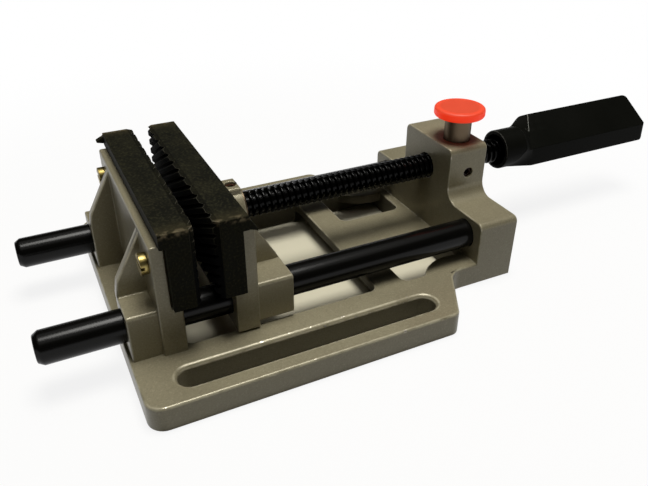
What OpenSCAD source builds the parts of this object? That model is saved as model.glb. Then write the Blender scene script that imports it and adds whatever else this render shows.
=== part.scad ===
// Drill press vise with a push-button quick release, in millimetres.
// Y runs along the lead screw towards the handle, Z is up, and z = 0 is the underside.
// Left and right are as seen from the handle: left is +X.

/* [Base casting] */
// Length of the base, along the screw
base_l = 182; // [176:1:240]
// Width over the two slotted flanges
base_w = 150; // [142:1:190]
// Thickness of the flanges and of the open frame
base_t = 11; // [9:0.5:12.5]
// Width of the rear block and of the jaw walls
body_w = 95.4; // [93:0.2:100]
// Corner radius of the flanges at the fixed jaw end
flange_corner_r = 7; // [2:0.5:12]
// Distance from the rear end to the outer corner of each flange
flange_set_back = 49.7; // [45:0.1:60]
// How far each flange's end slants back on its way in to the body
flange_slant = 15.1; // [8:0.1:20]
// Fillet in the notch between a flange and the rear block
notch_r = 8; // [4:0.5:12]
// Radius of the outer corner at the slanted end of a flange
flange_end_r = 5; // [2:0.5:8]

/* [Flange slots] */
// Width of the slots, which take 10 mm bolts
slot_w = 10.4; // [8:0.2:12]
// Length of the slots from end to end
slot_l = 113.6; // [80:0.2:118]
// Distance from a flange's outer edge to the middle of its slot
slot_inset = 13; // [11:0.5:15]
// Distance from the fixed jaw end to the slots
slot_start = 14.2; // [12:0.1:20]
// Chamfer round the upper rim of the slots
slot_chamfer = 1.2; // [0.5:0.1:2]

/* [Frame openings] */
// Width of the opening between the flanges
frame_open_w = 89; // [86:0.5:91]
// Length of the cross plate in front of the tower
cross_plate_l = 51.8; // [48:0.1:60]
// Thickness of the cross plate, which is hollow underneath
cross_plate_t = 5; // [3:0.1:7]
// Width of the cross bar at the front of the cross plate
cross_bar_w = 13.8; // [8:0.1:16]
// Width of the spine that ties the cross bar to the tower
spine_w = 31; // [24:0.5:34]
// Width of the ledge between an opening and the rear block
rear_ledge_w = 4.4; // [2:0.1:6]
// Width of the web round each notch
web_w = 12.8; // [9:0.1:14]
// Corner radius of the frame openings
open_r = 3.5; // [1:0.5:5]

/* [Rear block] */
// Depth of the rear block, along the screw
tower_d = 20.8; // [19.4:0.1:26]
// Width of the tower
tower_w = 39.2; // [38:0.1:46]
// Height of the tower
tower_h = 57.5; // [56:0.5:64]
// Fillet between the tower and the shoulders
tower_fillet_r = 7; // [3:0.5:9]
// Radius along the upper edges of the tower and the shoulders
block_edge_r = 3; // [1:0.5:4]

/* [Jaws] */
// Width of the jaw plates
plate_w = 102; // [98:0.5:110]
// Thickness of the jaw plates, from their seat to the tooth tips
plate_t = 10.9; // [9.6:0.1:14]
// Height of the top of the jaw plates
plate_top = 66.3; // [63.5:0.1:72]
// Gap between the jaws as drawn
jaw_gap = 7; // [5:0.1:20]
// Height of the cast jaw walls
wall_top = 60.1; // [57.5:0.1:62]
// Thickness of the cast jaw walls
wall_t = 5.5; // [4.5:0.1:7]
// Depth of the ledge under each jaw plate
ledge_d = 4; // [2:0.1:6]
// Height of the ledge under each jaw plate
ledge_z = 32; // [30:0.1:34]
// Free height between the ledge and the jaw plate
ledge_gap = 0.5; // [0.1:0.1:1]
// Depth of the lip that hooks each jaw plate over its wall
lip_d = 2.4; // [1:0.1:3.5]
// Width of the claw at one end of the lip
claw_w = 3; // [2:0.5:10]
// Distance from the top of the jaw plate to the claw
claw_drop = 1; // [0:0.1:2]
// Height of the claw at its root
claw_h = 3.2; // [2:0.1:4]
// How far the claw stands out behind the lip
claw_l = 3.3; // [1:0.1:5]
// Spacing of the serrations, square to their length
tooth_pitch = 3.9; // [3:0.1:6]
// Depth of the serrations
tooth_d = 1.3; // [0.8:0.1:2]
// Width of the flat crest between two serrations
crest_w = 2; // [0.4:0.1:2.4]
// Slope of the serrations across the jaw face
tooth_angle = 28; // [20:1:60]
// Chamfer down each end of the serrated face
plate_chamfer = 2.2; // [1:0.1:3]

/* [Jaw castings] */
// Distance between the inner faces of the two rod bosses
boss_inner_w = 53; // [48:0.5:55]
// Distance between the outer faces of the two rod bosses
boss_outer_w = 92; // [90:0.5:93]
// Metal over the guide rods in the bosses and shoulders
rod_cover = 2.65; // [2:0.05:4]
// Thickness of the gussets
gusset_t = 4.5; // [3:0.1:6]
// Distance from the gussets' upper end to the top of the wall
gusset_drop = 2; // [1:0.1:6]
// Height where the fixed jaw's gussets turn down
gusset_knee_z = 38.5; // [36:0.5:42]
// Radius along the upper edges of the bosses
boss_edge_r = 1.5; // [0.5:0.1:2.5]
// Radius along the upper edges of the walls, the ledges and the hub's pad
wall_edge_r = 1; // [0.4:0.1:1.5]
// Radius of the knee in the fixed jaw's gussets
gusset_knee_r = 4; // [1:0.5:8]
// Length of the fixed jaw's rod bosses
fixed_boss_l = 11.8; // [9:0.1:14]
// Distance from the fixed jaw end to its rod bosses
boss_set_in = 1.5; // [0.5:0.1:3]
// Length of the moving jaw's rod bosses
moving_boss_l = 15.7; // [14:0.1:20]
// Height of the moving jaw's underside above the flanges
moving_lift = 1; // [0.5:0.1:1.4]
// Height of the moving bosses' underside above the flanges
moving_boss_lift = 2; // [1:0.1:2.5]
// Length of the hub round the lead screw
hub_l = 13.2; // [12:0.1:15]
// Outer radius of the hub
hub_r = 10.5; // [10:0.1:12]
// Width of the flat pad on top of the hub
hub_pad_w = 11; // [8:0.5:14]
// Height of the flat pad above the screw axis
hub_pad_h = 11.7; // [11:0.1:13]
// Thickness of the rib under the hub
hub_rib_t = 9; // [5:0.5:12]

/* [Guide rods] */
// Diameter of the guide rods
rod_d = 13.5; // [12:0.1:14]
// Distance between the guide rods
rod_spacing = 72; // [70:0.5:73]
// Height of the guide rods
rod_z = 22.2; // [21.5:0.1:23]
// How far the rods stand out behind the fixed jaw
rod_out = 31; // [0:0.5:60]
// How far the rods stop short of the rear face
rod_recess = 1; // [0:0.1:2]
// Length of the taper at the free end of the rods
rod_taper_l = 2.4; // [1:0.1:5]
// Depth of the taper at the free end of the rods
rod_taper_d = 1.4; // [0.5:0.1:3]
// Diameter of the spring pins in the rods
rod_pin_d = 4; // [3:0.1:5]
// Wall of the spring pins
rod_pin_wall = 0.8; // [0.5:0.1:1]
// Slit along the spring pins
rod_pin_slit = 0.7; // [0.3:0.1:1]
// How far the spring pins reach past the rods' middle
rod_pin_reach = 3.5; // [1:0.1:5]
// How far the spring pins are driven in from the underside
rod_pin_recess = 2; // [0.5:0.1:6]

/* [Lead screw] */
// Outer diameter of the screw thread
screw_d = 12; // [10:0.1:13]
// Height of the screw axis
screw_z = 42.1; // [41.5:0.1:44]
// Diameter of the journal in the hub
journal_d = 9; // [8:0.1:10]
// Length of the journal in the hub
journal_l = 17; // [16:0.1:18]
// Depth of the retaining groove in the journal
groove_d = 1.2; // [0.8:0.1:1.5]
// Distance from the hub's end to the retaining groove
groove_back = 6.8; // [5:0.1:8]
// Thickness of the thrust washer
washer_t = 1; // [0.5:0.1:2]
// Outer diameter of the thrust washer
washer_d = 18; // [16:0.5:20]
// Distance from the rear face of the base to the handle
handle_gap = 21.8; // [14:0.1:60]
// Diameter of the plain end in the handle's mouth
tang_d = 9; // [8:0.1:10]
// Length of the flattened tang inside the paddle
tang_l = 30; // [16:0.5:60]
// Thickness of the flattened tang, which drives the handle
tang_t = 4.4; // [3:0.1:5]

/* [Handle] */
// Length of the handle
handle_l = 100.5; // [90:0.5:150]
// Outer diameter of the handle's neck
neck_d = 20; // [19:0.1:24]
// Bore of the hollow mouth of the neck
mouth_d = 16; // [14:0.1:17.5]
// Depth of the hollow mouth
mouth_l = 12; // [6:0.1:14]
// Length of the round neck
neck_l = 13; // [13:0.1:18]
// Distance from the mouth to the keel under the neck
keel_in = 3; // [2:0.1:8]
// Radius of the keel that runs from the neck to the paddle's lower edge
keel_r = 0.6; // [0.4:0.1:1]
// Distance from the round neck to the paddle's shoulders
shoulder_gap = 3; // [1:0.1:6]
// Radius of the paddle's upper shoulder
shoulder_r = 8; // [4:0.5:10]
// Length of the slanted flare along the paddle's upper side
upper_flare_l = 12.7; // [11:0.1:20]
// Length of the slanted flare along the paddle's lower side
lower_flare_l = 3; // [2:0.1:10]
// Width of the paddle
paddle_w = 28; // [24:0.1:40]
// How far the middle of the paddle lies above the screw, along its width
paddle_offset = 1.5; // [0:0.1:2.5]
// Thickness of the paddle
paddle_t = 7.6; // [7:0.1:8.4]
// Width of the slanted bevel along each side of the paddle
paddle_bevel = 6; // [2:0.1:8]
// Radius along the paddle's long edges
paddle_edge_r = 0.6; // [0.3:0.1:1.5]
// Radius of the corners at the paddle's end
paddle_corner_r = 3; // [1:0.5:8]
// Tilt of the paddle about the screw as drawn
paddle_tilt = 32.6; // [0:0.1:180]

/* [Quick release] */
// Diameter of the release plunger
plunger_d = 12.8; // [11.8:0.1:13.2]
// Sideways distance of the plunger from the screw axis
plunger_offset = 7.8; // [7.2:0.1:8.2]
// Distance of the plunger from the tower's front face
plunger_set_in = 11.1; // [9.8:0.1:11.2]
// How far the button goes down
press_travel = 8; // [6:0.1:8.5]
// Gap between the thread and the plunger's gripping notch
notch_gap = 0.3; // [0.2:0.05:0.5]
// Extra depth of the notch where the plunger frees the screw
release_depth = 1.2; // [0.8:0.1:1.6]
// Height of the lower end of the plunger
plunger_foot_z = 27; // [25:0.5:29]
// Free length of the plunger between the tower and the cap
plunger_show = 11.7; // [9:0.1:14]
// Diameter of the plunger's spigot in the cap
spigot_d = 6; // [4:0.1:7]
// Length of the plunger's spigot in the cap
spigot_l = 2.6; // [1.5:0.1:3]
// Height of the spring pocket's floor
pocket_z = 8; // [6:0.5:10]
// Diameter of the button cap
cap_d = 24; // [20:0.5:30]
// Thickness of the button cap
cap_t = 4.2; // [3.8:0.1:6]
// Edge radius of the button cap
cap_edge_r = 1.2; // [0.5:0.1:1.8]
// Dish in the top of the button cap
cap_dish = 0.4; // [0:0.1:0.8]
// Mean diameter of the return spring
spring_d = 8.6; // [7:0.1:9.6]
// Wire diameter of the return spring
wire_d = 1.2; // [0.8:0.1:1.4]
// Number of turns of the return spring
spring_turns = 6; // [4:1:7]

/* [Screws] */
// Shank diameter of the brass jaw screws
jaw_screw_d = 5; // [4:0.1:6]
// Distance of the jaw screws from the ends of the jaw wall
jaw_screw_inset = 7.7; // [6.7:0.1:9.7]
// Height of the jaw screws
jaw_screw_z = 50; // [46:0.1:54]
// Depth of the jaw screws in the jaw plate
jaw_screw_depth = 7; // [4:0.1:7.5]
// Head diameter of the jaw screws
jaw_head_d = 8.5; // [7:0.1:10]
// Head height of the jaw screws
jaw_head_h = 3; // [2:0.1:4]
// Height of the low heads of the moving jaw's screws
low_head_h = 1.2; // [1:0.1:2]
// Slot in the head of the jaw screws
jaw_head_slot = 1.2; // [0.6:0.1:2]
// Diameter of the two grub screws
grub_d = 5; // [4:0.1:5.6]
// Diameter of the grub screws' points
grub_point_d = 3; // [2:0.1:3.4]
// How far a grub screw lies below its surface
grub_recess = 1.2; // [0.5:0.1:2]
// Height of the plunger's guide screw above the screw axis
guide_rise = 1.9; // [0:0.1:3]
// Depth of the plunger's keyway
keyway_d = 1.5; // [1:0.1:2]
// Size across the hexagon socket of the grub screws
grub_key = 2.5; // [1.5:0.1:2.8]

/* [Fits and edges] */
// Chamfer on the ends of turned pieces and at the foot of the gussets
turned_chamfer = 1; // [0.5:0.1:1.5]
// Radial clearance of sliding and turning fits
run_fit = 0.05; // [0.02:0.01:0.1]
// Radial clearance of fixed fits
hold_fit = 0.02; // [0.01:0.01:0.04]
// Radial clearance of loose holes
loose_fit = 0.3; // [0.2:0.05:0.5]

/* [Hidden] */
$fn = 96;

// Colours of the finishes
paint = [0.56, 0.54, 0.48];
black_steel = [0.07, 0.07, 0.07];
black_jaw = [0.13, 0.12, 0.10];
black_plastic = [0.05, 0.05, 0.05];
brass = [0.80, 0.62, 0.22];
bright_steel = [0.62, 0.60, 0.57];
cap_red = [0.98, 0.28, 0.11];

// Overlap that keeps a cut clear of the face that it leaves through
over = 1;
// Small step that keeps the handle's flare inside its round neck
seam = 0.1;
// Steps in each rounded corner of an outline
corner_steps = 8;

// Radii
rod_r = rod_d / 2;
screw_r = screw_d / 2;
plunger_r = plunger_d / 2;
grub_r = grub_d / 2;
jaw_screw_r = jaw_screw_d / 2;

// Places along the screw, from the fixed jaw end to the handle
front_y = -base_l / 2;
rear_y = base_l / 2;
fixed_boss_y = front_y + boss_set_in;
fixed_back_y = fixed_boss_y + fixed_boss_l;
fixed_seat_y = fixed_back_y + wall_t;
fixed_ledge_y = fixed_seat_y + ledge_d;
moving_seat_y = fixed_seat_y + 2 * plate_t + jaw_gap;
moving_back_y = moving_seat_y + wall_t;
moving_ledge_y = moving_seat_y - ledge_d;
moving_boss_y = moving_back_y + moving_boss_l;
hub_y = moving_back_y + hub_l;
groove_y = hub_y - groove_back;
thread_y = hub_y + washer_t + run_fit;
tower_y = rear_y - tower_d;
plunger_y = tower_y + plunger_set_in;
cross_y = tower_y - cross_plate_l;
neck_y = rear_y + handle_gap;
mouth_y = neck_y + mouth_l;
paddle_y = neck_y + neck_l;
shoulder_y = paddle_y + shoulder_gap;
upper_flare_y = shoulder_y + upper_flare_l;
lower_flare_y = shoulder_y + lower_flare_l;
keel_y = neck_y + keel_in;
handle_y = neck_y + handle_l;
pin_y = tower_y + tower_d / 2;

// Heights
boss_z = rod_z + rod_r + rod_cover;
plate_z = ledge_z + ledge_gap;
guide_z = screw_z + guide_rise;
cap_z = tower_h + plunger_show;

// Half widths and sideways places
flange_x = base_w / 2;
body_x = body_w / 2;
slot_x = flange_x - slot_inset;
rod_x = rod_spacing / 2;
jaw_screw_x = body_x - jaw_screw_inset;
boss_in_x = boss_inner_w / 2;
boss_out_x = boss_outer_w / 2;
flange_end_y = rear_y - flange_set_back;
notch_y = flange_end_y + flange_slant;
// Middle of the fillet in the notch, where the slanted end meets the body's side
notch_half = atan2(flange_x - body_x, -flange_slant) / 2;
notch_mid = [body_x + notch_r, notch_y + notch_r / tan(notch_half)];
// Clear way beside the guide screw's point in the keyway
keyway_w = grub_point_d + 2 * loose_fit;

// Points of an outline [x, y, radius] with each corner rounded by its radius
function flat(p) = [p.x, p.y];
function unit(v) = v / norm(v);
function corner(a, b, c) =
    let(
        before = unit(flat(a) - flat(b)),
        after = unit(flat(c) - flat(b)),
        half = acos(before * after) / 2,
        room = 0.49 * min(norm(flat(a) - flat(b)), norm(flat(c) - flat(b))),
        r = min(b.z, room * tan(half)),
        middle = flat(b) + unit(before + after) * r / sin(half),
        start = flat(b) + before * r / tan(half) - middle,
        end = flat(b) + after * r / tan(half) - middle,
        from = atan2(start.y, start.x),
        turn = atan2(start.x * end.y - start.y * end.x, start * end)
    )
    [for (k = [0 : corner_steps])
        middle + r * [cos(from + turn * k / corner_steps), sin(from + turn * k / corner_steps)]];
function rounded(points) =
    let(n = len(points))
    [for (i = [0 : n - 1])
        each points[i].z > 0
            ? corner(points[(i + n - 1) % n], points[i], points[(i + 1) % n])
            : [flat(points[i])]];
function mirrored(points) =
    [for (i = [len(points) - 1 : -1 : 0]) [-points[i].x, points[i].y, points[i].z]];

// Extrudes an outline drawn as [x, z] along Y
module along_y(y0, y1) {
    translate([0, y1, 0])
        rotate([90, 0, 0])
            linear_extrude(y1 - y0)
                children();
}

// Extrudes an outline drawn as [y, z] along X
module along_x(x0, x1) {
    translate([x0, 0, 0])
        rotate([90, 0, 90])
            linear_extrude(x1 - x0)
                children();
}

// Round bar along Y
module bar_y(r, y0, y1) {
    translate([0, y0, 0])
        rotate([-90, 0, 0])
            cylinder(r = r, h = y1 - y0);
}

// The same piece on both sides of the middle plane
module both_sides() {
    children();
    mirror([1, 0, 0])
        children();
}

// Both guide rods' bores, over a stretch of Y
module rod_bores(clear, y0, y1) {
    both_sides()
        translate([rod_x, 0, rod_z])
            bar_y(rod_r + clear, y0, y1);
}

// Both holes for the screws of one jaw, over a stretch of Y
module jaw_screw_holes(y0, y1) {
    both_sides()
        translate([jaw_screw_x, 0, jaw_screw_z])
            bar_y(jaw_screw_r + loose_fit, y0, y1);
}

// Outline of the base seen from above
module base_outline() {
    left = [
        [flange_x, front_y, flange_corner_r],
        [flange_x, flange_end_y, flange_end_r],
        [body_x, notch_y, notch_r],
        [body_x, rear_y, 0]
    ];
    polygon(rounded(concat(left, mirrored(left))));
}

// Opening beside the spine of the cross plate, cut back by the web round the notch
module side_opening() {
    front = cross_y + cross_bar_w;
    rear = tower_y - rear_ledge_w;
    side = frame_open_w / 2;
    difference() {
        polygon(rounded([
            [spine_w / 2, front, open_r],
            [side, front, open_r],
            [side, rear, 0],
            [spine_w / 2, rear, open_r]
        ]));
        translate(notch_mid)
            circle(notch_r + web_w);
    }
}

// Through slot in a flange, with a chamfered upper rim
module flange_slot() {
    first = front_y + slot_start + slot_w / 2;
    last = first + slot_l - slot_w;
    r = slot_w / 2;
    rim = slot_chamfer + over;
    for (y = [first, last])
        translate([slot_x, y, 0]) {
            translate([0, 0, -over])
                cylinder(r = r, h = base_t + 2 * over);
            translate([0, 0, base_t - slot_chamfer])
                cylinder(r1 = r, r2 = r + rim, h = rim);
        }
    translate([slot_x, 0, 0])
        along_y(first, last)
            polygon([
                [-r, -over],
                [r, -over],
                [r, base_t - slot_chamfer],
                [r + rim, base_t + over],
                [-r - rim, base_t + over],
                [-r, base_t - slot_chamfer]
            ]);
}

// Tower and shoulders in one outline
module rear_block() {
    left = [
        [body_x, 0, 0],
        [body_x, boss_z, block_edge_r],
        [tower_w / 2, boss_z, tower_fillet_r],
        [tower_w / 2, tower_h, block_edge_r]
    ];
    along_y(tower_y, rear_y)
        polygon(rounded(concat(left, mirrored(left))));
}

// Wall that carries a jaw plate, with the ledge below it; the plate's side faces +Y
module jaw_wall(foot_z) {
    along_x(-body_x, body_x)
        polygon(rounded([
            [-wall_t, foot_z, 0],
            [-wall_t, wall_top, wall_edge_r],
            [0, wall_top, 0],
            [0, ledge_z, 0],
            [ledge_d, ledge_z, wall_edge_r],
            [ledge_d, foot_z, 0]
        ]));
}

// Pair of rod bosses over a stretch of Y
module rod_bosses(foot_z, foot_r, y0, y1) {
    both_sides()
        along_y(y0, y1)
            polygon(rounded([
                [boss_in_x, foot_z, foot_r],
                [boss_out_x, foot_z, foot_r],
                [boss_out_x, boss_z, boss_edge_r],
                [boss_in_x, boss_z, boss_edge_r]
            ]));
}

// Pair of gussets from an outline drawn as [y, z]
module gussets(points) {
    both_sides()
        along_x(boss_in_x, boss_in_x + gusset_t)
            polygon(rounded(points));
}

// Casting of the base: frame, slotted flanges, fixed jaw and rear block
module base_casting() {
    gusset_z = wall_top - gusset_drop;
    root_z = boss_z - boss_edge_r - over;
    color(paint)
        difference() {
            union() {
                linear_extrude(base_t)
                    difference() {
                        base_outline();
                        polygon(rounded([
                            [-frame_open_w / 2, fixed_ledge_y, open_r],
                            [frame_open_w / 2, fixed_ledge_y, open_r],
                            [frame_open_w / 2, cross_y, open_r],
                            [-frame_open_w / 2, cross_y, open_r]
                        ]));
                        side_opening();
                        mirror([1, 0])
                            side_opening();
                    }
                translate([0, fixed_seat_y, 0])
                    jaw_wall(0);
                rod_bosses(0, 0, fixed_boss_y, fixed_back_y + over);
                gussets([
                    [fixed_back_y + over, root_z, 0],
                    [fixed_back_y + over, gusset_z, 0],
                    [fixed_back_y, gusset_z, 0],
                    [fixed_boss_y + turned_chamfer, gusset_knee_z, gusset_knee_r],
                    [fixed_boss_y, boss_z + turned_chamfer, 0],
                    [fixed_boss_y, root_z, 0]
                ]);
                rear_block();
            }
            both_sides()
                flange_slot();
            translate([-frame_open_w / 2, cross_y - over, -over])
                cube([frame_open_w, cross_plate_l - rear_ledge_w + over, base_t - cross_plate_t + over]);
            rod_bores(hold_fit, front_y - over, fixed_ledge_y + over);
            rod_bores(hold_fit, tower_y - over, rear_y + over);
            both_sides()
                translate([rod_x, pin_y, -over])
                    cylinder(d = rod_pin_d, h = rod_z + over);
            jaw_screw_holes(fixed_back_y - over, fixed_seat_y + over);
            translate([0, 0, screw_z])
                bar_y(screw_r + loose_fit, tower_y - over, rear_y + over);
            translate([plunger_offset, plunger_y, pocket_z])
                cylinder(r = plunger_r + run_fit, h = tower_h - pocket_z + over);
            translate([plunger_offset, plunger_y, guide_z])
                rotate([0, 90, 0])
                    cylinder(r = grub_r, h = tower_w);
        }
}

// Jaw plate seen from its seat at y = 0, with its serrated face towards +Y and its claw at -X
module jaw_plate() {
    half = plate_w / 2;
    reach = plate_w + plate_top;
    rows = ceil(reach / 2 / tooth_pitch);
    flare = (tooth_pitch - crest_w) / 2;
    middle_z = (plate_z + plate_top) / 2;
    corner_cut = plate_chamfer * sqrt(2);
    color(black_jaw)
        difference() {
            union() {
                along_x(-half, half)
                    polygon([
                        [0, plate_z],
                        [plate_t, plate_z],
                        [plate_t, plate_top],
                        [-lip_d, plate_top],
                        [-lip_d, wall_top],
                        [0, wall_top]
                    ]);
                translate([0, -lip_d, plate_top - claw_drop - claw_h])
                    along_x(-half, claw_w - half)
                        polygon([
                            [over, 0],
                            [over, claw_h],
                            [0, claw_h],
                            [-claw_l, claw_h / 2],
                            [-claw_l, claw_h / 4],
                            [0, 0]
                        ]);
            }
            for (k = [-rows : rows])
                translate([0, plate_t, middle_z])
                    rotate([0, tooth_angle, 0])
                        translate([0, 0, (k + 1 / 2) * tooth_pitch])
                            along_x(-reach / 2, reach / 2)
                                polygon([
                                    [-tooth_d, 0],
                                    [tooth_d, 2 * flare],
                                    [tooth_d, -2 * flare]
                                ]);
            both_sides()
                translate([half, plate_t, middle_z])
                    rotate([0, 0, 45])
                        cube([corner_cut, corner_cut, plate_top], center = true);
            both_sides()
                translate([jaw_screw_x, 0, jaw_screw_z])
                    bar_y(jaw_screw_r + hold_fit, -over, jaw_screw_depth);
        }
}

// Slotted brass screw whose head sits on a wall's back at y = -wall_t
module jaw_screw(head_h) {
    color(brass)
        translate([jaw_screw_x, 0, jaw_screw_z])
            difference() {
                union() {
                    bar_y(jaw_screw_r, -wall_t, jaw_screw_depth - loose_fit);
                    bar_y(jaw_head_d / 2, -wall_t - head_h, -wall_t);
                }
                translate([0, -wall_t - head_h, 0])
                    cube([jaw_head_d + over, head_h, jaw_head_slot], center = true);
            }
}

// The pieces of the fixed jaw
module fixed_jaw_plate() {
    translate([0, fixed_seat_y, 0])
        jaw_plate();
}

module fixed_jaw_screw_left() {
    translate([0, fixed_seat_y, 0])
        jaw_screw(jaw_head_h);
}

module fixed_jaw_screw_right() {
    mirror([1, 0, 0])
        fixed_jaw_screw_left();
}

// Guide rod with a tapered free end and a cross hole for its spring pin
module guide_rod_left() {
    first = front_y - rod_out;
    last = rear_y - rod_recess;
    color(black_steel)
        difference() {
            translate([rod_x, first, rod_z])
                rotate([-90, 0, 0])
                    rotate_extrude()
                        polygon([
                            [0, 0],
                            [rod_r - rod_taper_d, 0],
                            [rod_r, rod_taper_l],
                            [rod_r, last - first - turned_chamfer],
                            [rod_r - turned_chamfer, last - first],
                            [0, last - first]
                        ]);
            translate([rod_x, pin_y, 0])
                cylinder(d = rod_pin_d + 2 * hold_fit, h = rod_z + rod_pin_reach + loose_fit);
        }
}

module guide_rod_right() {
    mirror([1, 0, 0])
        guide_rod_left();
}

// Rolled spring pin, driven from the underside into a shoulder and its rod
module rod_pin_left() {
    length = rod_z + rod_pin_reach - rod_pin_recess;
    color(bright_steel)
        translate([rod_x, pin_y, rod_pin_recess])
            difference() {
                cylinder(d = rod_pin_d - 2 * hold_fit, h = length);
                translate([0, 0, -over])
                    cylinder(d = rod_pin_d - 2 * rod_pin_wall, h = length + 2 * over);
                translate([0, -rod_pin_slit / 2, -over])
                    cube([rod_pin_d, rod_pin_slit, length + 2 * over]);
            }
}

module rod_pin_right() {
    mirror([1, 0, 0])
        rod_pin_left();
}

// Grub screw along +Z: its point's end is at z = 0 and its head at z = length
module grub_screw(point_l, length) {
    socket_l = 2 * grub_key;
    color(black_steel)
        difference() {
            union() {
                cylinder(d = grub_point_d, h = point_l + over);
                translate([0, 0, point_l])
                    cylinder(r = grub_r - hold_fit, h = length - point_l);
            }
            translate([0, 0, length - min(socket_l, (length - point_l) / 2)])
                cylinder(d = grub_key / cos(30), h = socket_l, $fn = 6);
        }
}

// Screw in the tower's side whose point runs in the plunger's keyway
module plunger_guide_screw() {
    tip_x = plunger_offset + plunger_r - keyway_d + loose_fit;
    shoulder_x = plunger_offset + plunger_r + loose_fit;
    head_x = tower_w / 2 - grub_recess;
    translate([tip_x, plunger_y, guide_z])
        rotate([0, 90, 0])
            grub_screw(shoulder_x - tip_x, head_x - tip_x);
}

// Casting of the moving jaw: wall, rod bosses, gussets and hub; the plate's side faces -Y
module moving_jaw_casting() {
    foot_z = base_t + moving_lift;
    boss_foot_z = base_t + moving_boss_lift;
    gusset_z = wall_top - gusset_drop;
    root_z = boss_z - boss_edge_r - over;
    pad_z = screw_z + hub_pad_h;
    pad_y = groove_y + grub_d;
    color(paint)
        difference() {
            union() {
                translate([0, moving_seat_y, 0])
                    rotate([0, 0, 180])
                        jaw_wall(foot_z);
                rod_bosses(boss_foot_z, boss_edge_r, moving_back_y - over, moving_boss_y);
                gussets([
                    [moving_back_y - over, root_z, 0],
                    [moving_back_y - over, gusset_z, 0],
                    [moving_back_y, gusset_z, 0],
                    [moving_boss_y, boss_z, 0],
                    [moving_boss_y, root_z, 0]
                ]);
                translate([0, 0, screw_z])
                    bar_y(hub_r, moving_back_y - over, hub_y);
                along_y(moving_back_y - over, hub_y - over)
                    polygon([
                        [-hub_rib_t / 2, foot_z],
                        [hub_rib_t / 2, foot_z],
                        [hub_rib_t / 2, screw_z],
                        [-hub_rib_t / 2, screw_z]
                    ]);
                along_y(moving_back_y - over, pad_y)
                    polygon(rounded([
                        [-hub_pad_w / 2, screw_z, 0],
                        [hub_pad_w / 2, screw_z, 0],
                        [hub_pad_w / 2, pad_z, wall_edge_r],
                        [-hub_pad_w / 2, pad_z, wall_edge_r]
                    ]));
            }
            rod_bores(run_fit, moving_ledge_y - over, moving_boss_y + over);
            jaw_screw_holes(moving_seat_y - over, moving_back_y + over);
            translate([0, 0, screw_z])
                bar_y(journal_d / 2 + run_fit, hub_y - journal_l - loose_fit, hub_y + over);
            translate([0, groove_y, screw_z])
                cylinder(r = grub_r, h = hub_pad_h + over);
        }
}

// The pieces of the moving jaw
module moving_jaw_plate() {
    translate([0, moving_seat_y, 0])
        rotate([0, 0, 180])
            jaw_plate();
}

module moving_jaw_screw_left() {
    mirror([1, 0, 0])
        moving_jaw_screw_right();
}

module moving_jaw_screw_right() {
    translate([0, moving_seat_y, 0])
        rotate([0, 0, 180])
            jaw_screw(low_head_h);
}

// Screw in the top of the hub whose point runs in the journal's groove
module hub_grub_screw() {
    tip_z = journal_d / 2 - groove_d + loose_fit;
    shoulder_z = journal_d / 2 + loose_fit;
    translate([0, groove_y, screw_z + tip_z])
        grub_screw(shoulder_z - tip_z, hub_pad_h - grub_recess - tip_z);
}

// Lead screw: journal with its groove, thread at its outer diameter, plain end and flattened tang
module lead_screw() {
    first = hub_y - journal_l;
    last = mouth_y + tang_l;
    groove_w = grub_point_d + 2 * loose_fit;
    journal_r = journal_d / 2;
    tang_r = tang_d / 2;
    color(black_steel)
        difference() {
            translate([0, 0, screw_z])
                rotate([-90, 0, 0])
                    rotate_extrude()
                        polygon([
                            [0, first],
                            [journal_r - turned_chamfer, first],
                            [journal_r, first + turned_chamfer],
                            [journal_r, groove_y - groove_w / 2],
                            [journal_r - groove_d, groove_y - groove_w / 2],
                            [journal_r - groove_d, groove_y + groove_w / 2],
                            [journal_r, groove_y + groove_w / 2],
                            [journal_r, thread_y],
                            [screw_r - turned_chamfer, thread_y],
                            [screw_r, thread_y + turned_chamfer],
                            [screw_r, neck_y - turned_chamfer],
                            [tang_r, neck_y + turned_chamfer],
                            [tang_r, last],
                            [0, last]
                        ]);
            translate([0, mouth_y, screw_z])
                rotate([0, paddle_tilt, 0])
                    for (side = [0, 1])
                        mirror([0, 0, side])
                            translate([-tang_d, 0, tang_t / 2])
                                cube([2 * tang_d, tang_l + over, tang_d]);
        }
}

// Washer between the hub and the shoulder of the lead screw
module thrust_washer() {
    color(bright_steel)
        translate([0, 0, screw_z])
            difference() {
                bar_y(washer_d / 2, hub_y, hub_y + washer_t);
                bar_y(journal_d / 2 + run_fit, hub_y - over, hub_y + washer_t + over);
            }
}

// Outline of the paddle's section, drawn as [along its width, across it]
module paddle_section() {
    side = paddle_w / 2;
    face = paddle_t / 2;
    polygon(rounded([
        [-side, face, paddle_edge_r],
        [side - paddle_bevel, face, paddle_edge_r],
        [side, -face, paddle_edge_r],
        [paddle_bevel - side, -face, paddle_edge_r]
    ]));
}

// Part of the paddle within a plan, an outline that shows square to its broad face
module paddle_part(plan) {
    translate([-paddle_offset, 0, 0])
        intersection() {
            along_y(shoulder_y, handle_y)
                paddle_section();
            translate([0, 0, -paddle_t])
                linear_extrude(2 * paddle_t)
                    polygon(rounded(plan));
        }
}

// Keel from the lower side of the neck into the paddle's lower edge
module handle_keel() {
    edge_angle = atan2(paddle_t, paddle_bevel);
    hull() {
        bar_y(neck_d / 2 - 2 * seam, keel_y - over, keel_y, $fn = 32);
        translate([paddle_w / 2 - keel_r / tan(edge_angle / 2) - paddle_offset, 0, keel_r - paddle_t / 2])
            bar_y(keel_r, lower_flare_y, lower_flare_y + over, $fn = 16);
    }
}

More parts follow.
